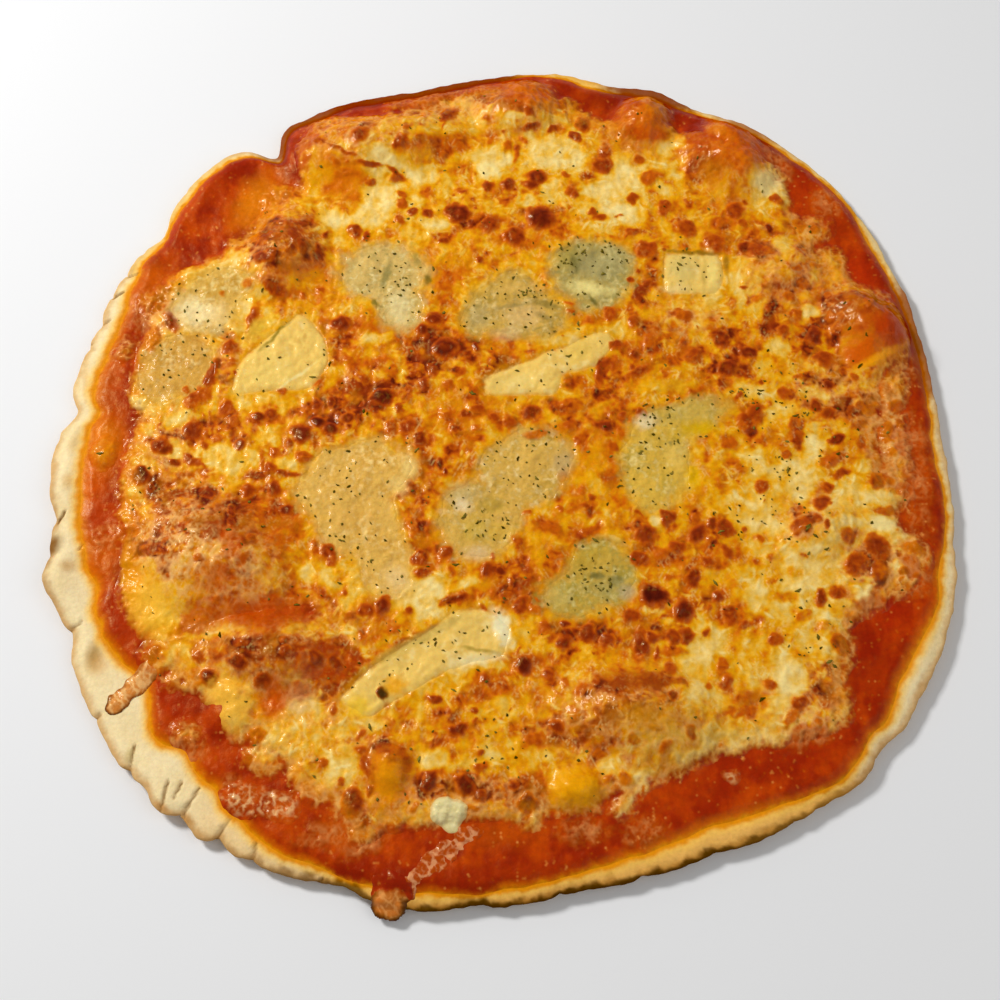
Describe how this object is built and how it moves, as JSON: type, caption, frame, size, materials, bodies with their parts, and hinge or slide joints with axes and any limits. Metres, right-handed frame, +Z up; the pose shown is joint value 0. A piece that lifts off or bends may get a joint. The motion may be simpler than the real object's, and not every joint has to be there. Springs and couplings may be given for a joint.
{
  "type": "four cheese pizza",
  "caption": "Whole thin-crust pizza with a pale bare rim, tomato sauce, a browned blanket of melted cheese, and slices and pools of softer cheeses.",
  "frame": {"origin": "under the middle of the whole pizza, on the surface it rests on", "axes": "+Z up out of the cheese; -Y towards the eater, on the side of the drip that hangs over the edge"},
  "size_m": [0.3176, 0.3236, 0.0177],
  "materials": {
    "crust": "dry floury baked dough, toasted at the edge",
    "tomato_sauce": "wet cooked tomato",
    "melted_cheese": "oily melted cheese with browned blisters",
    "brie": "soft satin cheese",
    "goat_cheese": "soft satin cheese",
    "blue_cheese": "soft satin cheese with green-grey veins",
    "mozzarella": "soft satin cheese"
  },
  "bodies": {
    "root": {"crust": "crust", "tomato_sauce": "tomato_sauce", "melted_cheese": "melted_cheese", "brie_slice_left": "brie", "brie_slice_middle": "brie", "brie_slice_right": "brie", "brie_slice_front": "brie", "goat_cheese_left": "goat_cheese", "goat_cheese_far_left": "goat_cheese", "goat_cheese_inner": "goat_cheese", "goat_cheese_centre": "goat_cheese", "blue_cheese_upper": "blue_cheese", "blue_cheese_top": "blue_cheese", "blue_cheese_middle": "blue_cheese", "blue_cheese_right": "blue_cheese", "blue_cheese_low": "blue_cheese", "mozzarella_bit": "mozzarella", "cheese_bit_left": "mozzarella", "cheese_bit_right": "mozzarella"}
  },
  "joints": []
}
